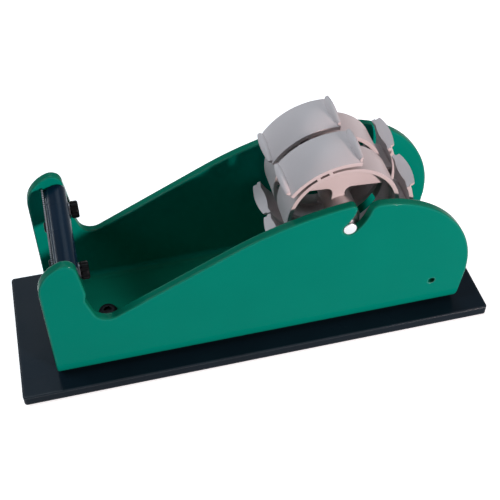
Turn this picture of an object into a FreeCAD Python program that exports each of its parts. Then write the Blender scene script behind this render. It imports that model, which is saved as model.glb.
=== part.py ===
# Bench dispenser for two 25 mm tapes on 76 mm cores.
# A folded steel channel stands on a heavy base plate.  The reel axle drops into curved
# slots at the rear, and the cutter sits between the two front posts.
# Lengths are in millimetres.  Every body is drawn in the base plate's own corner frame:
# x runs from the cutter end, y from the near long edge, z up from the bench.
import FreeCAD, Part
import Sketcher
import math
import os

os.makedirs("parts", exist_ok=True)
doc = FreeCAD.newDocument("TapeDispenser")

# Distances used to recognise edges: EXACT for the same place, NEARBY for the same feature.
EXACT = 0.02
NEARBY = 0.5

# ---------------------------------------------------------------- driving sizes

SIZES = [
    ("base_length", 270.0),
    ("base_width", 90.0),
    ("base_thickness", 6.0),
    ("base_edge_round", 0.8),
    ("base_corner_round", 2.0),
    ("base_hole_depth", 5.0),
    ("foot_height", 2.0),
    ("foot_diameter", 14.0),
    ("foot_inset", 16.0),
    ("foot_bevel", 0.4),
    # folded channel
    ("sheet", 5.0),
    ("wall_margin", 9.0),
    ("bend_inner_round", 4.5),
    ("channel_start", 20.5),
    ("tail_margin", 14.5),
    ("cut_edge_round", 0.9),
    ("post_over_seat", 10.9),
    ("front_post_depth", 19.8),
    ("front_post_nose_round", 19.4),
    ("front_post_tail_round", 6.0),
    ("post_heel_depth", 23.0),
    ("heel_below_top", 23.7),
    ("post_step_depth", 22.0),
    ("step_below_top", 29.2),
    ("post_bend_round", 1.5),
    ("notch_depth", 28.2),
    ("notch_rise", 38.2),
    ("notch_round", 8.0),
    ("shoulder_before_seat", 30.4),
    ("shoulder_over_seat", 13.8),
    ("lip_over_seat", 17.2),
    ("shelf_over_seat", 14.0),
    ("tail_undercut", 3.3),
    ("tail_undercut_rise", 27.0),
    ("tail_heel_round", 20.0),
    ("hang_hole_diameter", 4.0),
    ("hang_hole_from_tail", 20.5),
    ("hang_hole_rise", 22.7),
    # axle and its curved slot
    ("axle_diameter", 7.5),
    ("axle_end_round", 0.9),
    ("slot_clearance", 0.15),
    ("seat_from_tail", 72.8),
    ("seat_rise", 76.4),
    ("slot_arc_radius", 27.5),
    ("slot_arc_angle", 45.0),
    ("slot_lip_round", 3.2),
    ("slot_shelf_round", 5.0),
    # reel hubs
    ("hub_bore_clearance", 0.05),
    ("hub_boss_radius", 8.0),
    ("hub_gap", 0.8),
    ("pad_radius", 38.2),
    ("pad_edge_drop", 0.6),
    ("pad_crown_radius", 62.0),
    ("pad_thickness", 2.1),
    ("side_room", 3.9),
    ("pad_span", 64.5),
    ("ridge_axis_above_pad", 0.7),
    ("ridge_crown_radius", 40.0),
    ("ridge_half_height", 1.5),
    ("ridge_end_gap", 1.0),
    ("pad_rib_thickness", 2.0),
    ("pad_rib_offset", 3.4),
    ("rim_inset", 7.2),
    ("rim_thickness", 2.2),
    ("rim_setback", 3.0),
    ("rim_end_setback", 3.4),
    ("pad_end_setback", 1.4),
    ("join_overlap", 0.6),
    ("web_setback", 6.1),
    ("web_thickness", 3.0),
    ("spoke_width", 6.8),
    ("spoke_shift", 2.4),
    ("tee_width_share", 0.764),
    ("tee_rise_share", 0.486),
    ("web_turn", 26.0),
    ("web_corner_round", 3.8),
    ("web_root_round", 2.2),
    ("near_hub_turn", -22.0),
    ("far_hub_turn", -26.2),
    # axle retainers
    ("clip_thickness", 1.0),
    ("clip_wall", 2.75),
    ("clip_groove_depth", 0.75),
    ("wall_gap", 0.3),
    ("slide_gap", 0.1),
    ("clip_mouth", 4.0),
    # cutter
    ("bar_setback", 9.8),
    ("bar_depth", 6.0),
    ("bar_height", 16.0),
    ("bar_below_top", 27.3),
    ("blade_thickness", 0.8),
    ("blade_rise", 1.5),
    ("blade_height", 18.6),
    ("tooth_pitch", 1.5),
    ("tooth_height", 1.2),
    ("tooth_overrun", 0.1),
    ("blade_hole_clearance", 0.2),
    ("cover_step", 1.9),
    ("cover_lip_height", 2.4),
    ("cover_crown", 5.2),
    ("cover_nose_run", 3.4),
    ("cover_nose_rise", 1.0),
    ("cover_leg", 5.5),
    ("cover_front_round", 6.0),
    ("cover_rear_round", 4.4),
    ("blade_screw_diameter", 3.0),
    ("blade_screw_head", 5.6),
    ("blade_screw_head_height", 1.8),
    ("blade_screw_head_round", 0.9),
    ("shank_end_gap", 0.5),
    ("blade_screw_from_wall", 17.0),
    ("blade_screw_drop", 9.0),
    # thumb screws
    ("knob_from_wall", 8.0),
    ("knob_drop", 7.8),
    ("knob_radius", 4.8),
    ("knob_thickness", 4.4),
    ("knob_edge_round", 1.1),
    ("knob_lobes", 9),
    ("knob_scallop_radius", 1.1),
    ("knob_scallop_share", 0.35),
    ("stud_diameter", 5.0),
    ("stud_clearance", 0.05),
    ("stud_bevel", 0.5),
    ("stud_cap", 0.9),
    ("cover_hole_clearance", 0.3),
    ("washer_thickness", 0.6),
    ("washer_radius", 4.3),
    # channel screws
    ("screw_diameter", 6.0),
    ("screw_clearance", 0.3),
    ("screw_head_radius", 5.4),
    ("screw_head_height", 3.2),
    ("screw_head_round", 2.2),
    ("screw_socket", 4.0),
    ("screw_socket_depth", 1.6),
    ("front_screw_from_start", 32.7),
    ("rear_screw_from_tail", 45.0),
]

SUMS = [
    ("floor_z", "foot_height + base_thickness"),
    ("inside_z", "floor_z + sheet"),
    ("body_width", "base_width - 2 * wall_margin"),
    ("inner_width", "body_width - 2 * sheet"),
    ("wall_near", "wall_margin"),
    ("inner_near", "wall_near + sheet"),
    ("inner_far", "inner_near + inner_width"),
    ("middle", "base_width / 2"),
    ("bend_outer_round", "bend_inner_round + sheet"),
    ("channel_end", "base_length - tail_margin"),
    ("axle_x", "channel_end - seat_from_tail"),
    ("axle_z", "floor_z + seat_rise"),
    ("post_top_z", "axle_z + post_over_seat"),
    ("heel_z", "post_top_z - heel_below_top"),
    ("step_z", "post_top_z - step_below_top"),
    ("shelf_z", "axle_z + shelf_over_seat"),
    ("axle_radius", "axle_diameter / 2"),
    ("slot_half", "axle_radius + slot_clearance"),
    ("slot_centre_x", "axle_x - slot_arc_radius * cos(slot_arc_angle * 1 deg)"),
    ("slot_centre_z", "axle_z + slot_arc_radius * sin(slot_arc_angle * 1 deg)"),
    ("slot_x", "slot_centre_x + slot_arc_radius"),
    ("notch_x", "channel_start + notch_depth"),
    ("notch_z", "floor_z + notch_rise"),
    ("shoulder_x", "axle_x - shoulder_before_seat"),
    ("shoulder_z", "axle_z + shoulder_over_seat"),
    ("lip_z", "axle_z + lip_over_seat"),
    ("lip_run", "sqrt((slot_x - shoulder_x)^2 + (lip_z - shoulder_z)^2)"),
    ("slope_turn", "atan((shoulder_z - notch_z) / (shoulder_x - notch_x))"),
    ("lip_turn", "atan((lip_z - shoulder_z) / (slot_x - shoulder_x))"),
    ("shoulder_round", "0.95 * lip_run / tan((slope_turn - lip_turn) / 2)"),
    ("undercut_z", "floor_z + tail_undercut_rise"),
    ("tail_round", "0.945 * min(shelf_z - undercut_z; channel_end - slot_x)"),
    ("hub_depth", "(inner_width - hub_gap) / 2 - side_room"),
    ("pad_width", "hub_depth - pad_end_setback"),
    ("rim_end", "hub_depth - rim_end_setback"),
    ("hub_near_y", "middle - hub_gap / 2 - hub_depth"),
    ("clip_near_y", "inner_near + wall_gap"),
    ("spacer_near_y", "clip_near_y + clip_thickness + slide_gap"),
    ("spacer_length", "hub_near_y - slide_gap - spacer_near_y"),
    ("pad_inner", "pad_radius - pad_thickness"),
    ("ridge_axis", "pad_radius + ridge_axis_above_pad"),
    ("rim_radius", "pad_radius - rim_inset"),
    ("rim_inner", "rim_radius - rim_thickness"),
    ("tee_half_width", "tee_width_share * rim_inner"),
    ("tee_rise", "tee_rise_share * rim_inner"),
    ("web_reach", "tee_rise - hub_boss_radius"),
    ("web_corner", "min(web_corner_round; 0.64 * web_reach)"),
    ("web_root", "min(web_root_round; 0.36 * web_reach)"),
    ("web_foot", "0.9 * sqrt(hub_boss_radius^2 - (spoke_width / 2 + spoke_shift)^2)"),
    ("clip_radius", "axle_radius + clip_wall"),
    ("clip_groove_radius", "axle_radius - clip_groove_depth"),
    ("bar_x", "channel_start + bar_setback"),
    ("bar_z", "post_top_z - bar_below_top"),
    ("bar_top_z", "bar_z + bar_height"),
    ("bar_rear_x", "bar_x + bar_depth"),
    ("blade_x", "bar_x - blade_thickness"),
    ("blade_z", "bar_z + blade_rise"),
    ("blade_top_z", "blade_z + blade_height"),
    ("blade_length", "inner_width - 2 * wall_gap"),
    ("cover_rear_x", "bar_rear_x + wall_gap + cover_leg"),
    ("knob_z", "bar_top_z - knob_drop"),
    ("knob_spacing", "inner_width - 2 * knob_from_wall"),
    ("blade_screw_spacing", "inner_width - 2 * blade_screw_from_wall"),
    ("washer_x", "cover_rear_x + slide_gap"),
    ("knob_x", "washer_x + washer_thickness + slide_gap"),
    ("tooth_count", "floor(blade_length / tooth_pitch)"),
    ("blade_screw_z", "bar_top_z - blade_screw_drop"),
    ("near_knob_y", "middle - knob_spacing / 2"),
    ("far_knob_y", "middle + knob_spacing / 2"),
    ("screw_shank", "sheet + base_hole_depth - shank_end_gap"),
    ("front_screw_x", "channel_start + front_screw_from_start"),
    ("rear_screw_x", "channel_end - rear_screw_from_tail"),
]

sheet_table = doc.addObject("Spreadsheet::Sheet", "Sizes")
sheet_table.Label = "Sizes"
row = 0
for alias, amount in SIZES:
    row += 1
    sheet_table.set("A%d" % row, alias)
    sheet_table.set("B%d" % row, str(amount))
    sheet_table.setAlias("B%d" % row, alias)
doc.recompute()
for alias, formula in SUMS:
    row += 1
    sheet_table.set("A%d" % row, alias)
    sheet_table.set("B%d" % row, "=" + formula)
    sheet_table.setAlias("B%d" % row, alias)
    doc.recompute()

NAMES = sorted([name for name, _ in SIZES + SUMS], key=len, reverse=True)


def size(alias):
    """Present value of one named size."""
    amount = sheet_table.get(alias)
    return float(getattr(amount, "Value", amount))


def link(formula):
    """Turn a formula in plain size names into one that reads the size table."""
    out = ""
    word = ""
    for letter in formula + " ":
        if letter.isalnum() or letter == "_":
            word += letter
            continue
        out += "Sizes." + word if word in NAMES else word
        out += letter
        word = ""
    return out.strip()


def bind(thing, field, formula):
    thing.setExpression(field, link(formula))


# ---------------------------------------------------------------- drawing helpers

def new_body(name, many=False):
    """A body drawn in the corner frame and moved so that the plan is centred on the origin."""
    body = doc.addObject("PartDesign::Body", name)
    body.Label = name
    if many:
        body.AllowCompound = True
    bind(body, "Placement.Base.x", "-base_length / 2")
    bind(body, "Placement.Base.y", "-base_width / 2")
    return body


def origin_item(body, role):
    for item in body.Origin.OriginFeatures:
        if item.Role == role:
            return item
    raise ValueError("no origin item " + role)


def new_sketch(body, name, plane, offset=None):
    """A sketch on one origin plane, moved along the plane's normal by a formula."""
    sketch = body.newObject("Sketcher::SketchObject", name)
    sketch.AttachmentSupport = [(origin_item(body, plane), "")]
    sketch.MapMode = "FlatFace"
    if offset:
        bind(sketch, "AttachmentOffset.Base.z", offset)
    return sketch


def pin_point(sketch, piece, end, across, up, present=(1.0, 1.0)):
    """Fix one point of a sketch by two formulas measured from the sketch origin."""
    for kind, formula, amount in (("DistanceX", across, present[0]), ("DistanceY", up, present[1])):
        spot = sketch.addConstraint(Sketcher.Constraint(kind, -1, 1, piece, end, amount))
        bind(sketch, "Constraints[%d]" % spot, formula)


def draw_polygon(sketch, corners):
    """A closed outline whose corners are pairs of formulas."""
    count = len(corners)
    first = sketch.GeometryCount
    ring = []
    for step in range(count):
        turn = -2 * math.pi * step / count
        ring.append(FreeCAD.Vector(60 + 40 * math.cos(turn), 60 + 40 * math.sin(turn), 0))
    for step in range(count):
        sketch.addGeometry(Part.LineSegment(ring[step], ring[(step + 1) % count]), False)
    for step in range(count):
        nxt = first + (step + 1) % count
        sketch.addConstraint(Sketcher.Constraint("Coincident", first + step, 2, nxt, 1))
    for step, (across, up) in enumerate(corners):
        pin_point(sketch, first + step, 1, across, up)
    return first


def draw_box(sketch, left, low, right, high):
    return draw_polygon(sketch, [(left, low), (right, low), (right, high), (left, high)])


def draw_circle(sketch, across, up, radius):
    piece = sketch.addGeometry(Part.Circle(FreeCAD.Vector(5, 5, 0), FreeCAD.Vector(0, 0, 1), 2), False)
    pin_point(sketch, piece, 3, across, up)
    spot = sketch.addConstraint(Sketcher.Constraint("Radius", piece, 2.0))
    bind(sketch, "Constraints[%d]" % spot, radius)
    return piece


def draw_arc(sketch, start, end, radius, amounts):
    """Arc between two points given by formulas, bulging up; amounts is its present size."""
    left, low, right, high, reach = amounts
    half = math.hypot(right - left, high - low) / 2
    lean = math.atan2(high - low, right - left)
    drop = math.sqrt(reach ** 2 - half ** 2)
    centre = FreeCAD.Vector((left + right) / 2 + drop * math.sin(lean),
                            (low + high) / 2 - drop * math.cos(lean), 0)
    begin = math.atan2(high - centre.y, right - centre.x)
    finish = math.atan2(low - centre.y, left - centre.x)
    circle = Part.Circle(centre, FreeCAD.Vector(0, 0, 1), reach)
    piece = sketch.addGeometry(Part.ArcOfCircle(circle, begin, finish), False)
    pin_point(sketch, piece, 2, start[0], start[1], (left, low))
    pin_point(sketch, piece, 1, end[0], end[1], (right, high))
    spot = sketch.addConstraint(Sketcher.Constraint("Radius", piece, reach))
    bind(sketch, "Constraints[%d]" % spot, radius)
    return piece


def draw_line(sketch, start, end, build_only=False):
    piece = sketch.addGeometry(Part.LineSegment(FreeCAD.Vector(3, 4, 0), FreeCAD.Vector(30, 45, 0)),
                               build_only)
    pin_point(sketch, piece, 1, start[0], start[1])
    pin_point(sketch, piece, 2, end[0], end[1])
    return piece


def last_shape(body):
    doc.recompute()
    return body.Tip.Shape


def add_pad(body, sketch, name, length, backwards=False):
    pad = body.newObject("PartDesign::Pad", name)
    pad.Profile = sketch
    pad.Reversed = backwards
    bind(pad, "Length", length)
    return pad


def cut_through(body, sketch, name):
    """Cut a sketch right through the body, both ways from the sketch plane."""
    pocket = body.newObject("PartDesign::Pocket", name)
    pocket.Profile = sketch
    pocket.Type = "ThroughAll"
    pocket.Midplane = True
    return pocket


def cut_depth(body, sketch, name, depth, backwards=False):
    pocket = body.newObject("PartDesign::Pocket", name)
    pocket.Profile = sketch
    pocket.Reversed = backwards
    bind(pocket, "Length", depth)
    return pocket


def spin(body, sketch, name, axis, angle=None):
    """Revolve a sketch about one of its own axes, evenly to both sides when an angle is given."""
    turned = body.newObject("PartDesign::Revolution", name)
    turned.Profile = sketch
    turned.ReferenceAxis = (sketch, [axis])
    if angle:
        turned.Midplane = True
        bind(turned, "Angle", angle)
    else:
        turned.Angle = 360.0
    return turned


def repeat_round(body, name, originals, axis, count):
    pattern = body.newObject("PartDesign::PolarPattern", name)
    pattern.Originals = originals
    pattern.Axis = (origin_item(body, axis), [""])
    pattern.Angle = 360.0
    bind(pattern, "Occurrences", count)
    body.Tip = pattern
    return pattern


def repeat_along(body, name, originals, axis, length, count):
    pattern = body.newObject("PartDesign::LinearPattern", name)
    pattern.Originals = originals
    pattern.Direction = (origin_item(body, axis), [""])
    bind(pattern, "Length", length)
    bind(pattern, "Occurrences", count)
    body.Tip = pattern
    return pattern


def edges_where(shape, test):
    found = []
    for number, edge in enumerate(shape.Edges, 1):
        if test(edge):
            found.append("Edge%d" % number)
    return found


def round_edges(body, name, radius, test):
    """Round every edge of the body so far that passes the test."""
    shape = last_shape(body)
    names = edges_where(shape, test)
    if not names:
        raise ValueError("nothing to round for " + name)
    rounding = body.newObject("PartDesign::Fillet", name)
    rounding.Base = (body.Group[-2], names)
    bind(rounding, "Radius", radius)
    doc.recompute()
    return rounding


def middle_of(edge):
    return edge.valueAt((edge.FirstParameter + edge.LastParameter) / 2)


def runs_along(edge, axis):
    """True for a straight edge parallel to axis 0, 1 or 2."""
    if len(edge.Vertexes) != 2 or edge.Curve.TypeId != "Part::GeomLine":
        return False
    step = edge.Vertexes[1].Point - edge.Vertexes[0].Point
    return abs(abs(step[axis]) - step.Length) < EXACT * EXACT


def across_at(x_name, z_name):
    """Test for an edge that runs across the width at a named x and z."""
    place = (size(x_name), size(z_name))

    def test(edge):
        if not runs_along(edge, 1):
            return False
        spot = middle_of(edge)
        return abs(spot.x - place[0]) < EXACT and abs(spot.z - place[1]) < EXACT
    return test


def long_edge_at(y, z):
    """Test for an edge that runs along the length at a given y and z."""
    def test(edge):
        if not runs_along(edge, 0):
            return False
        spot = middle_of(edge)
        return abs(spot.y - y) < EXACT and abs(spot.z - z) < EXACT
    return test


def place_at(body, x, y, z):
    """Move a body drawn about its own axis to a point of the corner frame."""
    bind(body, "Placement.Base.x", "%s - base_length / 2" % x)
    bind(body, "Placement.Base.y", "%s - base_width / 2" % y)
    bind(body, "Placement.Base.z", z)


# ---------------------------------------------------------------- base and feet

def make_base():
    body = new_body("base_plate")
    plan = new_sketch(body, "base_plan", "XY_Plane", "foot_height")
    draw_box(plan, "0", "0", "base_length", "base_width")
    add_pad(body, plan, "base_slab", "base_thickness")
    round_edges(body, "base_corners", "base_corner_round", lambda edge: runs_along(edge, 2))
    top = size("floor_z")
    round_edges(body, "base_top_edge", "base_edge_round",
                lambda edge: abs(middle_of(edge).z - top) < EXACT and not runs_along(edge, 2))
    holes = new_sketch(body, "base_tapped_holes", "XY_Plane", "floor_z")
    for x in ("front_screw_x", "rear_screw_x"):
        draw_circle(holes, x, "middle", "screw_diameter / 2")
    cut_depth(body, holes, "base_holes", "base_hole_depth")
    return body


def make_foot(name, x, y):
    body = new_body(name)
    place_at(body, x, y, "0")
    side = new_sketch(body, name + "_section", "XZ_Plane")
    rim = "foot_diameter / 2"
    draw_polygon(side, [("0", "0"), (rim + " - foot_bevel", "0"), (rim, "foot_bevel"),
                        (rim, "foot_height"), ("0", "foot_height")])
    spin(body, side, name + "_turn", "V_Axis")
    return body


# ---------------------------------------------------------------- folded channel

def make_channel():
    body = new_body("channel_body")
    side = new_sketch(body, "side_outline", "XZ_Plane", "-wall_near")
    start = "channel_start"
    draw_polygon(side, [
        (start, "floor_z"),
        (start, "post_top_z"),
        ("channel_start + front_post_depth", "post_top_z"),
        ("channel_start + post_heel_depth", "heel_z"),
        ("channel_start + post_step_depth", "step_z"),
        ("notch_x", "notch_z"),
        ("shoulder_x", "shoulder_z"),
        ("slot_x", "lip_z"),
        ("slot_x", "shelf_z"),
        ("channel_end", "shelf_z"),
        ("channel_end", "undercut_z"),
        ("channel_end - tail_undercut", "floor_z")])
    add_pad(body, side, "side_block", "body_width", backwards=True)
    doc.recompute()

    def corner(x_value, z_value):
        return lambda edge: (runs_along(edge, 1) and abs(middle_of(edge).x - x_value) < EXACT
                             and abs(middle_of(edge).z - z_value) < EXACT)

    start_x = size("channel_start")
    top = size("post_top_z")
    post_x = start_x + size("front_post_depth")
    heel = (start_x + size("post_heel_depth"), size("heel_z"))
    step = (start_x + size("post_step_depth"), size("step_z"))
    round_edges(body, "post_nose", "front_post_nose_round", corner(start_x, top))
    round_edges(body, "post_tail", "front_post_tail_round", corner(post_x, top))
    round_edges(body, "post_heel", "post_bend_round", corner(*heel))
    round_edges(body, "post_step", "post_bend_round", corner(*step))
    round_edges(body, "notch", "notch_round", across_at("notch_x", "notch_z"))
    round_edges(body, "shoulder", "shoulder_round", across_at("shoulder_x", "shoulder_z"))
    round_edges(body, "tail", "tail_round", across_at("channel_end", "shelf_z"))
    round_edges(body, "tail_heel", "tail_heel_round", across_at("channel_end", "undercut_z"))
    cut_slot(body)
    cut_inside(body)
    soften_cut_edges(body)
    return body


def soften_cut_edges(body):
    """Take the sharpness off both rims of every wall's cut edge, as thick paint does."""
    planes = [size("wall_near"), size("inner_near"), size("inner_far")]
    planes.append(size("wall_near") + size("body_width"))
    low = size("inside_z") + size("bend_inner_round") + NEARBY

    def rim(edge):
        spot = middle_of(edge)
        if min(abs(spot.y - plane) for plane in planes) > EXACT:
            return False
        ends = [vertex.Point.z for vertex in edge.Vertexes]
        if len(ends) < 2:
            return False
        return spot.z > low and not runs_along(edge, 1)
    round_edges(body, "cut_rims", "cut_edge_round", rim)


def cut_slot(body):
    """Curved slot that the axle rides down into its seat."""
    arc = new_sketch(body, "slot_arc", "XY_Plane", "slot_centre_z")
    draw_box(arc, "slot_x - slot_half", "wall_near - 1", "slot_x + slot_half",
             "wall_near + body_width + 1")
    axis = arc.addGeometry(Part.LineSegment(FreeCAD.Vector(9, 1, 0), FreeCAD.Vector(9, 50, 0)), True)
    pin_point(arc, axis, 1, "slot_centre_x", "1")
    pin_point(arc, axis, 2, "slot_centre_x", "50")
    groove = body.newObject("PartDesign::Groove", "slot_groove")
    groove.Profile = arc
    groove.ReferenceAxis = (arc, ["Axis0"])
    bind(groove, "Angle", "slot_arc_angle")
    seat = new_sketch(body, "slot_seat", "XZ_Plane")
    draw_circle(seat, "axle_x", "axle_z", "slot_half")
    cut_through(body, seat, "seat")
    mouth = new_sketch(body, "slot_mouth", "XZ_Plane")
    draw_box(mouth, "slot_x - slot_half", "slot_centre_z", "slot_x + slot_half", "2 * post_top_z")
    cut_through(body, mouth, "mouth")
    front_side = size("slot_x") - size("slot_half")
    rear_side = size("slot_x") + size("slot_half")
    shelf = size("shelf_z")
    round_edges(body, "slot_shelf", "slot_shelf_round",
                lambda edge: runs_along(edge, 1) and abs(middle_of(edge).x - rear_side) < 2 * NEARBY
                and abs(middle_of(edge).z - shelf) < EXACT)
    round_edges(body, "slot_lip", "slot_lip_round",
                lambda edge: runs_along(edge, 1) and abs(middle_of(edge).x - front_side) < 2 * NEARBY
                and middle_of(edge).z > shelf)


def cut_inside(body):
    """Hollow the block into a channel and fold-round its two bottom bends."""
    hollow = new_sketch(body, "hollow_outline", "YZ_Plane")
    draw_box(hollow, "inner_near", "inside_z", "inner_far", "2 * post_top_z")
    cut_through(body, hollow, "hollow")
    doc.recompute()
    near = size("inner_near")
    far = size("inner_far")
    inside = size("inside_z")
    floor = size("floor_z")
    wall = size("wall_near")
    other = wall + size("body_width")
    round_edges(body, "inner_bends", "bend_inner_round",
                lambda edge: long_edge_at(near, inside)(edge) or long_edge_at(far, inside)(edge))
    round_edges(body, "outer_bends", "bend_outer_round",
                lambda edge: long_edge_at(wall, floor)(edge) or long_edge_at(other, floor)(edge))
    holes = new_sketch(body, "hang_hole_circle", "XZ_Plane")
    draw_circle(holes, "channel_end - hang_hole_from_tail", "floor_z + hang_hole_rise",
                "hang_hole_diameter / 2")
    cut_through(body, holes, "hang_holes")
    floor_holes = new_sketch(body, "floor_screw_circles", "XY_Plane")
    for x in ("front_screw_x", "rear_screw_x"):
        draw_circle(floor_holes, x, "middle", "screw_diameter / 2 + screw_clearance")
    cut_through(body, floor_holes, "floor_holes")


# ---------------------------------------------------------------- channel screws

def make_body_screws():
    """Two alike button-head screws, one node."""
    body = new_body("body_screws", many=True)
    place_at(body, "front_screw_x", "middle", "inside_z")
    side = new_sketch(body, "screw_section", "XZ_Plane", None)
    side.AttachmentOffset = FreeCAD.Placement(FreeCAD.Vector(0, 0, 0), FreeCAD.Rotation())
    bind(side, "AttachmentOffset.Base.y", "-screw_shank")
    draw_polygon(side, [("0", "0"), ("screw_diameter / 2", "0"), ("screw_diameter / 2", "screw_shank"),
                        ("screw_head_radius", "screw_shank"),
                        ("screw_head_radius", "screw_shank + screw_head_height"),
                        ("0", "screw_shank + screw_head_height")])
    spin(body, side, "screw_turn", "V_Axis")
    head = size("screw_head_height")
    dome = round_edges(body, "screw_dome", "screw_head_round",
                       lambda edge: abs(middle_of(edge).z - head) < EXACT)
    socket = new_sketch(body, "screw_socket_outline", "XY_Plane", "screw_head_height")
    draw_polygon(socket, hexagon("screw_socket"))
    recess = cut_depth(body, socket, "screw_socket_cut", "screw_socket_depth")
    repeat_along(body, "screw_row", [body.Group[1], dome, recess], "X_Axis",
                 "rear_screw_x - front_screw_x", "2")
    return body


def hexagon(across_flats):
    """Six corner formulas of a hexagon about the sketch origin."""
    corners = []
    for step in range(6):
        reach = "%s / sqrt(3)" % across_flats
        corners.append(("%s * cos(%d deg)" % (reach, 60 * step), "%s * sin(%d deg)" % (reach, 60 * step)))
    return corners


# ---------------------------------------------------------------- reel axle and hubs

def make_axle():
    body = new_body("axle")
    place_at(body, "axle_x", "wall_near", "axle_z")
    side = new_sketch(body, "axle_section", "XY_Plane")
    near_groove = "clip_near_y - wall_near"
    far_groove = "body_width - (clip_near_y - wall_near) - clip_thickness"
    rim = "axle_radius"
    floor = "clip_groove_radius"
    draw_polygon(side, [
        ("0", "0"), (rim, "0"),
        (rim, near_groove), (floor, near_groove),
        (floor, near_groove + " + clip_thickness"), (rim, near_groove + " + clip_thickness"),
        (rim, far_groove), (floor, far_groove),
        (floor, far_groove + " + clip_thickness"), (rim, far_groove + " + clip_thickness"),
        (rim, "body_width"), ("0", "body_width")])
    spin(body, side, "axle_turn", "V_Axis")
    length = size("body_width")
    radius = size("axle_radius")
    round_edges(body, "axle_ends", "axle_end_round",
                lambda edge: edge.Curve.TypeId == "Part::GeomCircle"
                and abs(edge.Curve.Radius - radius) < EXACT
                and min(abs(middle_of(edge).y), abs(middle_of(edge).y - length)) < EXACT)
    return body


def make_clip(name, y):
    """Open retaining ring in one of the axle's grooves."""
    body = new_body(name)
    place_at(body, "axle_x", y, "axle_z")
    side = new_sketch(body, name + "_section", "XY_Plane")
    draw_box(side, "clip_groove_radius", "0", "clip_radius", "clip_thickness")
    spin(body, side, name + "_turn", "V_Axis")
    gap = new_sketch(body, name + "_gap_outline", "XZ_Plane")
    draw_box(gap, "-clip_mouth / 2", "-2 * clip_radius", "clip_mouth / 2", "0")
    cut_through(body, gap, name + "_gap")
    return body


def make_spacer(name, y):
    body = new_body(name)
    place_at(body, "axle_x", y, "axle_z")
    side = new_sketch(body, name + "_section", "XY_Plane")
    draw_box(side, "axle_radius + hub_bore_clearance", "0", "clip_radius", "spacer_length")
    spin(body, side, name + "_turn", "V_Axis")
    return body


def make_hub(name, y, turn, mirrored):
    """One-piece moulded hub: bore boss, two T-shaped spokes, rim, and three sprung pads."""
    body = new_body(name)
    if mirrored:
        half = math.radians(size(turn) / 2)
        body.Placement.Rotation = FreeCAD.Rotation(FreeCAD.Vector(math.sin(half), 0, math.cos(half)), 180)
    else:
        body.Placement.Rotation = FreeCAD.Rotation(FreeCAD.Vector(0, 1, 0), size(turn))
    place_at(body, "axle_x", y, "axle_z")
    boss = new_sketch(body, name + "_boss_section", "XY_Plane")
    draw_box(boss, "axle_radius + hub_bore_clearance", "0", "hub_boss_radius", "hub_depth")
    spin(body, boss, name + "_boss", "V_Axis")
    add_spokes(body, name)
    add_rim(body, name)
    add_pads(body, name)
    return body


def add_spokes(body, name):
    web_start = "rim_setback + web_setback"
    tee = new_sketch(body, name + "_tee_outline", "XZ_Plane", "-(%s)" % web_start)
    tee.AttachmentOffset.Rotation = FreeCAD.Rotation(FreeCAD.Vector(0, 0, 1), -size("web_turn"))
    left = "-(spoke_width / 2 + spoke_shift)"
    right = "(spoke_width / 2 - spoke_shift)"
    wide = "tee_half_width"
    reach = "rim_inner + join_overlap"
    shoulder = "sqrt((%s)^2 - tee_half_width^2)" % reach
    draw_polygon(tee, [
        (left, "web_foot"), (right, "web_foot"),
        (right, "tee_rise"), (wide, "tee_rise"), (wide, shoulder),
        (wide + " / 2", "rim_inner - join_overlap"), ("-%s / 2" % wide, "rim_inner - join_overlap"),
        ("-" + wide, shoulder), ("-" + wide, "tee_rise"), (left, "tee_rise")])
    pad = add_pad(body, tee, name + "_tee", "web_thickness", backwards=True)
    doc.recompute()
    repeat_round(body, name + "_spokes", [pad], "Y_Axis", "2")
    sides = [size("spoke_width") / 2 + sign * size("spoke_shift") for sign in (-1, 1)]
    corners = [math.hypot(side, size("tee_rise")) for side in sides]
    round_edges(body, name + "_web_corners", "web_corner", web_edge(corners))
    round_edges(body, name + "_web_roots", "web_root", web_edge([size("hub_boss_radius")]))


def web_edge(reaches):
    """Test for an edge through the web's thickness at one of some distances from the axle."""
    def test(edge):
        if not runs_along(edge, 1) or abs(edge.Length - size("web_thickness")) > EXACT:
            return False
        spot = middle_of(edge)
        reach = math.hypot(spot.x, spot.z)
        return min(abs(reach - wanted) for wanted in reaches) < EXACT
    return test


def add_rim(body, name):
    rim = new_sketch(body, name + "_rim_section", "XY_Plane")
    web = "rim_setback + web_setback"
    web_end = web + " + web_thickness"
    ledge = "rim_inner - 2 * join_overlap"
    draw_polygon(rim, [
        ("rim_inner", "rim_setback"), ("rim_radius", "rim_setback"), ("rim_radius", "rim_end"),
        ("rim_inner", "rim_end"), ("rim_inner", web_end), (ledge, web_end), (ledge, web),
        ("rim_inner", web)])
    spin(body, rim, name + "_rim", "V_Axis")


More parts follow.
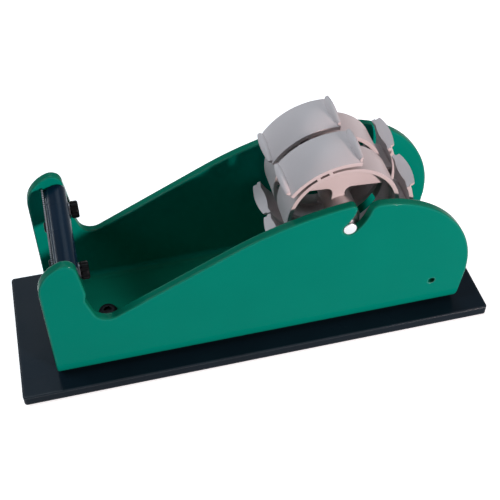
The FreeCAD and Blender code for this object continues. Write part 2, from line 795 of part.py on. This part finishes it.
def add_pads(body, name):
    """Three crowned leaves on pairs of ribs, each ending in two ridges."""
    ribs = new_sketch(body, name + "_rib_outlines", "XZ_Plane", "-rim_setback")
    inner = "pad_rib_offset - pad_rib_thickness / 2"
    outer = "pad_rib_offset + pad_rib_thickness / 2"
    foot = "rim_radius - rim_thickness / 2"
    head = "pad_inner + join_overlap / 2"
    draw_box(ribs, inner, foot, outer, head)
    draw_box(ribs, "-(%s)" % outer, foot, "-(%s)" % inner, head)
    rib = add_pad(body, ribs, name + "_ribs", "rim_end - rim_setback", backwards=True)
    leaf_section = new_sketch(body, name + "_leaf_section", "YZ_Plane")
    outer_low = "pad_radius - pad_edge_drop"
    inner_low = outer_low + " - pad_thickness"
    width = size("pad_width")
    top = size("pad_radius")
    drop = size("pad_edge_drop")
    thick = size("pad_thickness")
    crown = size("pad_crown_radius")
    draw_arc(leaf_section, ("0", outer_low), ("pad_width", "pad_radius"), "pad_crown_radius",
             (0, top - drop, width, top, crown))
    draw_line(leaf_section, ("pad_width", "pad_radius"), ("pad_width", "pad_inner"))
    draw_arc(leaf_section, ("0", inner_low), ("pad_width", "pad_inner"), "pad_crown_radius",
             (0, top - drop - thick, width, top - thick, crown))
    draw_line(leaf_section, ("0", inner_low), ("0", outer_low))
    leaf = spin(body, leaf_section, name + "_leaf", "H_Axis", "pad_span")
    near_ridge = add_ridge(body, name + "_ridge_a", -1)
    far_ridge = add_ridge(body, name + "_ridge_b", 1)
    doc.recompute()
    repeat_round(body, name + "_pads", [rib, leaf, near_ridge, far_ridge], "Y_Axis", "3")


def add_ridge(body, name, side):
    """Raised ridge with a bowed back along one end of a leaf, flat on its outer face."""
    section = new_sketch(body, name + "_section", "YZ_Plane")
    section.AttachmentOffset.Rotation = FreeCAD.Rotation(FreeCAD.Vector(1, 0, 0),
                                                         side * size("pad_span") / 2)
    start = "ridge_end_gap"
    end = "pad_width - ridge_end_gap"
    side_low = "ridge_axis + ridge_half_height"
    axis = size("ridge_axis")
    half = size("ridge_half_height")
    gap = size("ridge_end_gap")
    width = size("pad_width")
    draw_arc(section, (start, side_low), (end, side_low), "ridge_crown_radius",
             (gap, axis + half, width - gap, axis + half, size("ridge_crown_radius")))
    draw_line(section, (end, side_low), (end, "ridge_axis"))
    draw_line(section, (end, "ridge_axis"), (start, "ridge_axis"))
    draw_line(section, (start, "ridge_axis"), (start, side_low))
    draw_line(section, ("0", "ridge_axis"), ("pad_width", "ridge_axis"), build_only=True)
    turned = body.newObject("PartDesign::Revolution", name)
    turned.Profile = section
    turned.ReferenceAxis = (section, ["Axis0"])
    turned.Angle = 180.0
    turned.Reversed = side > 0
    return turned


# ---------------------------------------------------------------- cutter

def make_bar():
    """Cross bar welded between the front posts."""
    body = new_body("cross_bar")
    side = new_sketch(body, "bar_outline", "XZ_Plane", "-inner_near")
    draw_box(side, "bar_x", "bar_z", "bar_rear_x", "bar_top_z")
    add_pad(body, side, "bar_block", "inner_width", backwards=True)
    holes = new_sketch(body, "bar_knob_circles", "YZ_Plane")
    for y in ("near_knob_y", "far_knob_y"):
        draw_circle(holes, y, "knob_z", "stud_diameter / 2 + stud_clearance")
    for sign in ("-", "+"):
        draw_circle(holes, "middle %s blade_screw_spacing / 2" % sign, "blade_screw_z",
                    "blade_screw_diameter / 2")
    cut_through(body, holes, "bar_holes")
    return body


def make_blade():
    """Flat steel blade with one toothed edge."""
    body = new_body("blade")
    face = new_sketch(body, "blade_outline", "YZ_Plane", "blade_x")
    near = "inner_near + wall_gap"
    draw_box(face, near, "blade_z", near + " + blade_length", "blade_top_z")
    add_pad(body, face, "blade_plate", "blade_thickness")
    holes = new_sketch(body, "blade_hole_circles", "YZ_Plane")
    for sign in ("-", "+"):
        draw_circle(holes, "middle %s blade_screw_spacing / 2" % sign, "blade_screw_z",
                    "blade_screw_diameter / 2 + blade_hole_clearance")
    cut_through(body, holes, "blade_holes")
    notch = new_sketch(body, "tooth_gap_outline", "YZ_Plane")
    draw_polygon(notch, [(near, "blade_top_z + tooth_overrun"),
                         (near + " + tooth_pitch / 2", "blade_top_z - tooth_height"),
                         (near + " + tooth_pitch", "blade_top_z + tooth_overrun")])
    gap = cut_through(body, notch, "tooth_gap")
    doc.recompute()
    repeat_along(body, "teeth", [gap], "Y_Axis", "tooth_pitch * (tooth_count - 1)", "tooth_count")
    return body


def make_blade_screws():
    """Two alike pan-head screws that hold the blade, one node."""
    body = new_body("blade_screws", many=True)
    place_at(body, "blade_x - blade_screw_head_height", "middle - blade_screw_spacing / 2", "blade_screw_z")
    side = new_sketch(body, "blade_screw_section", "XY_Plane")
    head = "blade_screw_head / 2"
    shank = "blade_screw_diameter / 2"
    under = "blade_screw_head_height"
    length = "blade_screw_head_height + blade_thickness + bar_depth - shank_end_gap"
    draw_polygon(side, [("0", "0"), ("0", head), (under, head), (under, shank), (length, shank),
                        (length, "0")])
    turned = spin(body, side, "blade_screw_turn", "H_Axis")
    dome = round_edges(body, "blade_screw_dome", "blade_screw_head_round",
                       lambda edge: abs(middle_of(edge).x) < EXACT)
    repeat_along(body, "blade_screw_row", [turned, dome], "Y_Axis", "blade_screw_spacing", "2")
    return body


def make_cover():
    """Crowned blade holder that hooks over the bar behind the blade."""
    body = new_body("blade_holder")
    side = new_sketch(body, "cover_outline", "XZ_Plane", "-(inner_near + wall_gap)")
    front = "bar_x + wall_gap"
    draw_polygon(side, [
        (front, "bar_top_z"),
        (front, "bar_top_z + cover_lip_height"),
        (front + " + cover_step", "bar_top_z + cover_lip_height"),
        (front + " + cover_step", "bar_top_z + cover_lip_height + cover_nose_rise"),
        (front + " + cover_step + cover_nose_run", "bar_top_z + cover_crown"),
        ("cover_rear_x", "bar_top_z + cover_crown"),
        ("cover_rear_x", "bar_z"),
        ("bar_rear_x + wall_gap", "bar_z"),
        ("bar_rear_x + wall_gap", "bar_top_z")])
    add_pad(body, side, "cover_block", "blade_length", backwards=True)
    crown = size("bar_top_z") + size("cover_crown")
    rear = size("cover_rear_x")
    round_edges(body, "cover_rear", "cover_rear_round",
                lambda edge: runs_along(edge, 1) and abs(middle_of(edge).x - rear) < EXACT
                and abs(middle_of(edge).z - crown) < EXACT)
    round_edges(body, "cover_front", "cover_front_round",
                lambda edge: runs_along(edge, 1) and abs(middle_of(edge).z - crown) < EXACT
                and middle_of(edge).x < size("bar_rear_x"))
    holes = new_sketch(body, "cover_circles", "YZ_Plane")
    for y in ("near_knob_y", "far_knob_y"):
        draw_circle(holes, y, "knob_z", "stud_diameter / 2 + cover_hole_clearance")
    cut_through(body, holes, "cover_holes")
    return body


# ---------------------------------------------------------------- thumb screws

def make_washer(name, y):
    body = new_body(name)
    place_at(body, "washer_x", y, "knob_z")
    side = new_sketch(body, name + "_section", "XY_Plane")
    draw_box(side, "0", "stud_diameter / 2 + cover_hole_clearance", "washer_thickness",
             "washer_radius")
    spin(body, side, name + "_turn", "H_Axis")
    return body


def make_knob(name, y):
    """Scalloped plastic thumb knob, bored for its stud."""
    body = new_body(name)
    place_at(body, "knob_x", y, "knob_z")
    side = new_sketch(body, name + "_section", "XY_Plane")
    draw_box(side, "0", "stud_diameter / 2", "knob_thickness", "knob_radius")
    spin(body, side, name + "_turn", "H_Axis")
    radius = size("knob_radius")
    round_edges(body, name + "_rims", "knob_edge_round",
                lambda edge: edge.Curve.TypeId == "Part::GeomCircle"
                and abs(edge.Curve.Radius - radius) < EXACT)
    scallop = new_sketch(body, name + "_scallop_circle", "YZ_Plane")
    draw_circle(scallop, "0", "knob_radius + knob_scallop_radius * knob_scallop_share", "knob_scallop_radius")
    cut = cut_through(body, scallop, name + "_scallop")
    doc.recompute()
    repeat_round(body, name + "_scallops", [cut], "X_Axis", "knob_lobes")
    return body


def make_stud(name, y):
    """Steel stud moulded into the knob and screwed into the bar."""
    body = new_body(name)
    place_at(body, "bar_x + shank_end_gap", y, "knob_z")
    side = new_sketch(body, name + "_section", "XY_Plane")
    end = "knob_x + knob_thickness - bar_x - stud_cap"
    rim = "stud_diameter / 2"
    draw_polygon(side, [("0", "0"), ("0", rim + " - stud_bevel"), ("stud_bevel", rim), (end, rim),
                        (end, "0")])
    spin(body, side, name + "_turn", "H_Axis")
    return body


# ---------------------------------------------------------------- build and write

far_inset_x = "base_length - foot_inset"
far_inset_y = "base_width - foot_inset"
far_clip = "base_width - clip_near_y - clip_thickness"
far_spacer = "base_width - spacer_near_y - spacer_length"

nodes = [
    make_base(),
    make_foot("foot_front_near", "foot_inset", "foot_inset"),
    make_foot("foot_front_far", "foot_inset", far_inset_y),
    make_foot("foot_rear_near", far_inset_x, "foot_inset"),
    make_foot("foot_rear_far", far_inset_x, far_inset_y),
    make_channel(),
    make_body_screws(),
    make_bar(),
    make_blade(),
    make_blade_screws(),
    make_cover(),
    make_washer("knob_washer_near", "near_knob_y"),
    make_washer("knob_washer_far", "far_knob_y"),
    make_knob("knob_near", "near_knob_y"),
    make_knob("knob_far", "far_knob_y"),
    make_stud("knob_stud_near", "near_knob_y"),
    make_stud("knob_stud_far", "far_knob_y"),
    make_axle(),
    make_clip("axle_clip_near", "clip_near_y"),
    make_clip("axle_clip_far", far_clip),
    make_spacer("spacer_near", "spacer_near_y"),
    make_spacer("spacer_far", far_spacer),
    make_hub("hub_near", "hub_near_y", "near_hub_turn", False),
    make_hub("hub_far", "base_width - hub_near_y", "far_hub_turn", True),
]
doc.recompute()

faults = []
for thing in doc.Objects:
    if "Invalid" in thing.State or "Error" in thing.State:
        faults.append("%s is %s" % (thing.Name, thing.State))
for node in nodes:
    shape = node.Shape
    if shape.isNull() or not shape.isValid() or not shape.Solids:
        faults.append(node.Label + " has no valid solid")
if faults:
    raise RuntimeError("; ".join(faults))

for node in nodes:
    node.Shape.exportStep(os.path.join("parts", node.Label + ".step"))
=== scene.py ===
"""Looks of a bench tape dispenser: green enamelled channel, black base, two moulded reel hubs."""
import math

import bmesh
import bpy
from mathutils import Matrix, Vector


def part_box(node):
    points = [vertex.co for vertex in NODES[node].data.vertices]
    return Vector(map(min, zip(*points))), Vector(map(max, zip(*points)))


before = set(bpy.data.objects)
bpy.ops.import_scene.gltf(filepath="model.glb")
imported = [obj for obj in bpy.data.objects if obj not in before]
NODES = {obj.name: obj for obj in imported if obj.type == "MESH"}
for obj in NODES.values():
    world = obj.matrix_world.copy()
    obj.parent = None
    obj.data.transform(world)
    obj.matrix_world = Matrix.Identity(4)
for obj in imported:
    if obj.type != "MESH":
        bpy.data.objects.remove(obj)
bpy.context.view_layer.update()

MM = 0.001
MICRON = 0.000001

# Share of Y in a face's normal: below the first a face isn't a wall and gets painted shade, from the
# second it is one and keeps the lit green.
WALL_STARTS = 0.60
WALL_FULL = 0.99

# How far a softened normal agrees with the true one: on a rounded edge, and on a flat face.
ON_EDGE = 0.955
ON_FLAT = 0.999


# ---------------------------------------------------------------- shader building blocks

class Finish:
    """One material with its shader, and short ways to wire nodes into it."""

    def __init__(self, name, colour, rough, gloss=0.5, metal=0.0):
        self.material = bpy.data.materials.new(name)
        self.material.use_nodes = True
        self.tree = self.material.node_tree
        self.shader = self.tree.nodes["Principled BSDF"]
        self.shader.inputs["Base Color"].default_value = (*colour, 1.0)
        self.shader.inputs["Roughness"].default_value = rough
        self.shader.inputs["Specular IOR Level"].default_value = gloss
        self.shader.inputs["Metallic"].default_value = metal
        self.colour = colour
        self.point = self.node("ShaderNodeTexCoord").outputs["Object"]

    def node(self, kind, **settings):
        made = self.tree.nodes.new(kind)
        for field, value in settings.items():
            setattr(made, field, value)
        return made

    def join(self, source, target):
        self.tree.links.new(source, target)

    def stretched(self, centre, scale):
        """Object point moved to a centre and stretched, for grain that runs one way."""
        mapping = self.node("ShaderNodeMapping", vector_type="POINT")
        mapping.inputs["Location"].default_value = [-c * s for c, s in zip(centre, scale)]
        mapping.inputs["Scale"].default_value = scale
        self.join(self.point, mapping.inputs["Vector"])
        return mapping.outputs["Vector"]

    def noise(self, scale, detail=2.0, point=None):
        made = self.node("ShaderNodeTexNoise")
        made.inputs["Scale"].default_value = scale
        made.inputs["Detail"].default_value = detail
        self.join(point or self.point, made.inputs["Vector"])
        return made.outputs["Fac"]

    def lit_walls(self):
        """One on faces that look along Y, falling to nought on floors and on faces that look along X: the
        mask for painted shade off the walls.
        """
        parts = self.node("ShaderNodeSeparateXYZ")
        self.join(self.node("ShaderNodeTexCoord").outputs["Normal"], parts.inputs[0])
        size = self.node("ShaderNodeMath", operation="ABSOLUTE")
        self.join(parts.outputs["Y"], size.inputs[0])
        return self.spread(size.outputs[0], low=0.0, high=1.0, start=WALL_STARTS, end=WALL_FULL)

    def spread(self, source, low, high, start=0.3, end=0.7):
        """Map start..end of a pattern to low..high."""
        made = self.node("ShaderNodeMapRange")
        for socket, value in zip(("From Min", "From Max", "To Min", "To Max"), (start, end, low, high)):
            made.inputs[socket].default_value = value
        self.join(source, made.inputs["Value"])
        return made.outputs["Result"]

    def mix(self, factor, first, second):
        """Blend two colours; each is a socket or three numbers."""
        made = self.node("ShaderNodeMix", data_type="RGBA")
        self.join(factor, made.inputs["Factor"])
        for socket, colour in (("A", first), ("B", second)):
            if isinstance(colour, tuple):
                made.inputs[socket].default_value = (*colour, 1.0)
            else:
                self.join(colour, made.inputs[socket])
        return made.outputs["Result"]

    def shade(self, factor, darkest):
        """The finish's own colour, down to a share of it where the pattern is low."""
        return self.mix(factor, tuple(darkest * part for part in self.colour), self.colour)

    def set(self, socket, source):
        self.join(source, self.shader.inputs[socket])

    def glint_edges(self, radius, flat, edge):
        """Thicker, glossier paint where it rounds an edge; gives one at the edge, nought on the flat."""
        soft = self.node("ShaderNodeBevel", samples=8)
        soft.inputs["Radius"].default_value = radius
        agree = self.node("ShaderNodeVectorMath", operation="DOT_PRODUCT")
        self.join(soft.outputs["Normal"], agree.inputs[0])
        self.join(self.node("ShaderNodeNewGeometry").outputs["Normal"], agree.inputs[1])
        alike = agree.outputs["Value"]
        self.set("Specular IOR Level", self.spread(alike, low=edge, high=flat, start=ON_EDGE, end=ON_FLAT))
        return self.spread(alike, low=1.0, high=0.0, start=ON_EDGE, end=ON_FLAT)

    def bump(self, *layers, rounded=0.0):
        """Stack height patterns, each (pattern, height in metres), over edges softened by a radius."""
        normal = None
        if rounded:
            soft = self.node("ShaderNodeBevel", samples=6)
            soft.inputs["Radius"].default_value = rounded
            normal = soft.outputs["Normal"]
        for height, depth in layers:
            made = self.node("ShaderNodeBump")
            made.inputs["Strength"].default_value = 1.0
            made.inputs["Distance"].default_value = depth
            self.join(height, made.inputs["Height"])
            if normal:
                self.join(normal, made.inputs["Normal"])
            normal = made.outputs["Normal"]
        self.set("Normal", normal)


def paint_nodes(finish, *names):
    """Give each named node this finish in place of what it had."""
    for name in names:
        slots = NODES[name].data.materials
        slots.clear()
        slots.append(finish.material)


# ---------------------------------------------------------------- finishes

def green_enamel():
    """Thick baked enamel over folded sheet: soft ripples and fine peel, and painted shade as a deeper
    green on floors, bends and cut edges.
    """
    wall_green = (0.0, 0.262, 0.190)
    # Painted shade: floors, bends and cut edges get this darker green in place of the lit wall green.
    painted_shade_green = (0.003, 0.185, 0.110)
    flat_gloss = 0.012
    paint_round = 1.3 * MM
    finish = Finish("green_enamel", wall_green, rough=0.1, gloss=flat_gloss)
    clouds = finish.noise(scale=28.0, detail=3.0)
    peel = finish.noise(scale=700.0, detail=2.0)
    ripple = finish.noise(scale=90.0, detail=1.0)
    walls = finish.shade(finish.spread(clouds, low=0.0, high=1.0), darkest=0.95)
    # Painted shade: the darker green goes wherever a face turns off the walls.
    finish.set("Base Color", finish.mix(finish.lit_walls(), painted_shade_green, walls))
    edge = finish.glint_edges(radius=paint_round, flat=flat_gloss, edge=0.40)
    finish.set("Roughness", finish.spread(edge, low=0.09, high=0.26, start=0.0, end=1.0))
    finish.bump((ripple, 100 * MICRON), (peel, 12 * MICRON), rounded=paint_round)
    return finish


def black_enamel(name, colour, gloss):
    """Blue-black gloss enamel with faint haze and peel."""
    finish = Finish(name, colour, rough=0.2, gloss=gloss)
    haze = finish.noise(scale=35.0, detail=4.0)
    peel = finish.noise(scale=800.0, detail=2.0)
    finish.set("Base Color", finish.shade(finish.spread(haze, low=0.0, high=1.0), darkest=0.8))
    finish.set("Roughness", finish.spread(haze, low=0.16, high=0.30))
    finish.glint_edges(radius=1.2 * MM, flat=gloss, edge=0.9)
    finish.bump((peel, 12 * MICRON), rounded=0.9 * MM)
    return finish


def hub_plastic():
    """Moulded warm grey plastic with a fine spark-eroded skin and slow flow marks."""
    finish = Finish("hub_plastic", (0.68, 0.600, 0.595), rough=0.42, gloss=0.3)
    flow = finish.noise(scale=45.0, detail=3.0)
    skin = finish.noise(scale=2600.0, detail=2.0)
    finish.set("Base Color", finish.shade(finish.spread(flow, low=0.0, high=1.0), darkest=0.955))
    finish.set("Roughness", finish.spread(flow, low=0.36, high=0.50))
    finish.bump((skin, 14 * MICRON), (flow, 60 * MICRON), rounded=0.5 * MM)
    return finish


def turned_steel():
    """Bright ground shaft: concentric rings on its ends and fine bands along its length."""
    low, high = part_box("axle")
    centre = [(a + b) / 2 for a, b in zip(low, high)]
    finish = Finish("turned_steel", (0.74, 0.75, 0.77), rough=0.22, metal=1.0)
    bands = (60.0, 4000.0, 60.0)
    along = finish.noise(scale=1.0, detail=2.0, point=finish.stretched(centre, bands))
    rings = finish.node("ShaderNodeTexWave", wave_type="RINGS", rings_direction="Y")
    rings.inputs["Scale"].default_value = 1500.0
    rings.inputs["Distortion"].default_value = 0.6
    finish.join(finish.stretched(centre, (1.0, 1.0, 1.0)), rings.inputs["Vector"])
    finish.set("Base Color", finish.shade(finish.spread(along, low=0.0, high=1.0), darkest=0.86))
    finish.set("Roughness", finish.spread(along, low=0.16, high=0.32))
    finish.bump((rings.outputs["Fac"], 6 * MICRON))
    return finish


def brushed_steel(name, colour, stretch, rough=(0.22, 0.38)):
    """Bare or plated steel with a stretched grain and slightly duller patches."""
    finish = Finish(name, colour, rough=0.3, metal=1.0)
    grain = finish.noise(scale=1.0, detail=3.0, point=finish.stretched((0, 0, 0), stretch))
    patches = finish.noise(scale=120.0, detail=2.0)
    finish.set("Base Color", finish.shade(finish.spread(grain, low=0.0, high=1.0), darkest=0.8))
    finish.set("Roughness", finish.spread(patches, *rough))
    finish.bump((grain, 8 * MICRON))
    return finish


def blackened_steel():
    """Oil-blackened screws: dull, slightly paler where the black is thin."""
    finish = Finish("blackened_steel", (0.008, 0.009, 0.011), rough=0.38, gloss=0.05)
    thin = finish.noise(scale=260.0, detail=4.0)
    deep = (0.005, 0.006, 0.008)
    pale = (0.012, 0.012, 0.013)
    finish.set("Base Color", finish.mix(finish.spread(thin, low=0.0, high=1.0), deep, pale))
    finish.set("Roughness", finish.spread(thin, low=0.30, high=0.48))
    finish.bump((thin, 20 * MICRON))
    return finish


def knob_plastic():
    """Hard black thermoset with slightly duller patches."""
    finish = Finish("knob_plastic", (0.0045, 0.0050, 0.0060), rough=0.3, gloss=0.06)
    rubbed = finish.noise(scale=300.0, detail=3.0)
    skin = finish.noise(scale=2400.0, detail=1.0)
    finish.set("Base Color", finish.shade(finish.spread(rubbed, low=0.0, high=1.0), darkest=0.7))
    finish.set("Roughness", finish.spread(rubbed, low=0.24, high=0.42))
    finish.bump((skin, 10 * MICRON))
    return finish


def foot_rubber():
    """Matt black rubber with a coarse pressed skin."""
    finish = Finish("foot_rubber", (0.014, 0.014, 0.015), rough=0.8, gloss=0.2)
    dusty = finish.noise(scale=180.0, detail=4.0)
    grain = finish.noise(scale=1900.0, detail=2.0)
    clean = (0.011, 0.011, 0.012)
    dust = (0.022, 0.021, 0.020)
    finish.set("Base Color", finish.mix(finish.spread(dusty, low=0.0, high=1.0), clean, dust))
    finish.set("Roughness", finish.spread(dusty, low=0.70, high=0.92))
    finish.bump((grain, 40 * MICRON))
    return finish


def spacer_nylon():
    """Off-white nylon tube with fine turning marks."""
    finish = Finish("spacer_nylon", (0.56, 0.53, 0.47), rough=0.45, gloss=0.35)
    cloud = finish.noise(scale=150.0, detail=2.0)
    turning = (50.0, 3000.0, 50.0)
    turned = finish.noise(scale=1.0, detail=1.0, point=finish.stretched((0, 0, 0), turning))
    finish.set("Base Color", finish.shade(finish.spread(cloud, low=0.0, high=1.0), darkest=0.92))
    finish.set("Roughness", finish.spread(cloud, low=0.38, high=0.52))
    finish.bump((turned, 10 * MICRON))
    return finish


BASE_BLACK = (0.0070, 0.0150, 0.0240)
HOLDER_BLACK = (0.0040, 0.0180, 0.0380)
BLACK_GLOSS = 0.04
SPRING_COLOUR = (0.30, 0.30, 0.31)
SPRING_GRAIN = (900.0, 200.0, 900.0)
BLADE_COLOUR = (0.20, 0.21, 0.23)
BLADE_GRAIN = (300.0, 60.0, 2500.0)
ZINC_COLOUR = (0.10, 0.10, 0.11)
ZINC_GRAIN = (400.0, 400.0, 400.0)
ZINC_ROUGH = (0.3, 0.45)


def finish_every_node():
    """Give each construction node the finish of the real piece."""
    paint_nodes(green_enamel(), "channel_body", "cross_bar")
    paint_nodes(black_enamel("base_enamel", BASE_BLACK, BLACK_GLOSS), "base_plate")
    paint_nodes(black_enamel("holder_enamel", HOLDER_BLACK, BLACK_GLOSS), "blade_holder")
    paint_nodes(hub_plastic(), "hub_near", "hub_far")
    paint_nodes(turned_steel(), "axle")
    spring = brushed_steel("spring_steel", SPRING_COLOUR, SPRING_GRAIN)
    paint_nodes(spring, "axle_clip_near", "axle_clip_far")
    paint_nodes(brushed_steel("blade_steel", BLADE_COLOUR, BLADE_GRAIN), "blade")
    zinc = brushed_steel("zinc_plate", ZINC_COLOUR, ZINC_GRAIN, ZINC_ROUGH)
    paint_nodes(zinc, "knob_washer_near", "knob_washer_far", "knob_stud_near", "knob_stud_far")
    paint_nodes(blackened_steel(), "body_screws", "blade_screws")
    paint_nodes(knob_plastic(), "knob_near", "knob_far")
    paint_nodes(spacer_nylon(), "spacer_near", "spacer_far")
    paint_nodes(foot_rubber(), *[name for name in NODES if name.startswith("foot_")])


# ---------------------------------------------------------------- floor, lights, camera

def seen_directly(tree):
    """One for camera, glossy and transmission rays, and nought for the light that bounces."""
    path = tree.nodes.new("ShaderNodeLightPath")
    total = path.outputs["Is Camera Ray"]
    for extra in ("Is Glossy Ray", "Is Transmission Ray"):
        add = tree.nodes.new("ShaderNodeMath")
        add.operation = "ADD"
        add.use_clamp = True
        tree.links.new(total, add.inputs[0])
        tree.links.new(path.outputs[extra], add.inputs[1])
        total = add.outputs[0]
    return total


WHITE = (1.0, 1.0, 1.0)
FLOOR_HALF = 6.0
FLOOR_GLOW = 0.74       # near the object, where its shadow has to show; further off it is plain white
GLOW_RISES = 0.3        # distances from the object's middle
GLOW_FULL = 1.0
FLOOR_BOUNCE = (0.30, 0.30, 0.31)
AMBIENT = (0.012, 0.014, 0.016)


def make_floor():
    """A wide floor that looks nearly white and sends back only a little light."""
    bm = bmesh.new()
    bmesh.ops.create_grid(bm, x_segments=1, y_segments=1, size=FLOOR_HALF)
    mesh = bpy.data.meshes.new("floor")
    bm.to_mesh(mesh)
    bm.free()
    floor = bpy.data.objects.new("floor", mesh)
    bpy.context.scene.collection.objects.link(floor)
    finish = Finish("floor_white", WHITE, rough=0.9, gloss=0.0)
    seen = seen_directly(finish.tree)
    finish.set("Base Color", finish.mix(seen, FLOOR_BOUNCE, WHITE))
    finish.shader.inputs["Emission Color"].default_value = (*WHITE, 1.0)
    away = finish.node("ShaderNodeVectorMath", operation="LENGTH")
    finish.join(finish.point, away.inputs[0])
    glow = finish.spread(away.outputs["Value"], low=FLOOR_GLOW, high=1.0, start=GLOW_RISES, end=GLOW_FULL)
    shown = finish.node("ShaderNodeMath", operation="MULTIPLY")
    finish.join(glow, shown.inputs[0])
    finish.join(seen, shown.inputs[1])
    finish.set("Emission Strength", shown.outputs[0])
    mesh.materials.append(finish.material)


def make_world():
    """White where it is looked at, and a dim cool fill for everything else."""
    world = bpy.data.worlds.new("studio")
    world.use_nodes = True
    bpy.context.scene.world = world
    tree = world.node_tree
    mix = tree.nodes.new("ShaderNodeMix")
    mix.data_type = "RGBA"
    mix.inputs["A"].default_value = (*AMBIENT, 1.0)
    mix.inputs["B"].default_value = (*WHITE, 1.0)
    tree.links.new(seen_directly(tree), mix.inputs["Factor"])
    tree.links.new(mix.outputs["Result"], tree.nodes["Background"].inputs["Color"])


AIM = Vector((0, 0, 50 * MM))


def lamp_at(name, azimuth, elevation, reach, size, watts, colour):
    """An area lamp aimed at the object; its azimuth is measured from -Y towards +X."""
    light = bpy.data.lights.new(name, "AREA")
    light.shape = "DISK"
    light.size = size
    light.energy = watts
    light.color = colour
    lamp = bpy.data.objects.new(name, light)
    turn = math.radians(azimuth)
    rise = math.radians(elevation)
    way = Vector((math.sin(turn) * math.cos(rise), -math.cos(turn) * math.cos(rise), math.sin(rise)))
    lamp.location = AIM + way * reach
    lamp.rotation_euler = way.to_track_quat("Z", "Y").to_euler()
    bpy.context.scene.collection.objects.link(lamp)


def make_lamps():
    """A low warm key from the front right, and two broad cool lamps behind and on the left."""
    lamp_at("key", azimuth=32, elevation=13.0, reach=1.6, size=0.16, watts=24.0, colour=(1.0, 0.82, 0.81))
    lamp_at("back", azimuth=180, elevation=50, reach=1.6, size=0.9, watts=8.4, colour=(0.78, 0.90, 1.0))
    lamp_at("left", azimuth=-90, elevation=50, reach=1.6, size=0.9, watts=9.8, colour=(0.80, 0.91, 1.0))


CAMERA_EYE = (-0.0845, -0.3626, 0.4362)
CAMERA_DIP = 46.37      # degrees below level
CAMERA_TURN = -14.03    # degrees round Z from looking along +Y
CAMERA_SENSOR = 36.0
CAMERA_LENS = 68.6
CAMERA_SHIFT = (-0.0124, -0.0026)
CAMERA_NEAR = 20 * MM


def make_camera():
    camera = bpy.data.objects.new("camera", bpy.data.cameras.new("camera"))
    camera.data.sensor_width = CAMERA_SENSOR
    camera.data.lens = CAMERA_LENS
    camera.data.shift_x, camera.data.shift_y = CAMERA_SHIFT
    camera.data.clip_start = CAMERA_NEAR
    camera.location = CAMERA_EYE
    camera.rotation_euler = (math.radians(90 - CAMERA_DIP), 0.0, math.radians(CAMERA_TURN))
    bpy.context.scene.collection.objects.link(camera)
    bpy.context.scene.camera = camera


make_camera()
make_floor()
make_world()
make_lamps()
finish_every_node()
bpy.context.scene.view_settings.view_transform = "Standard"
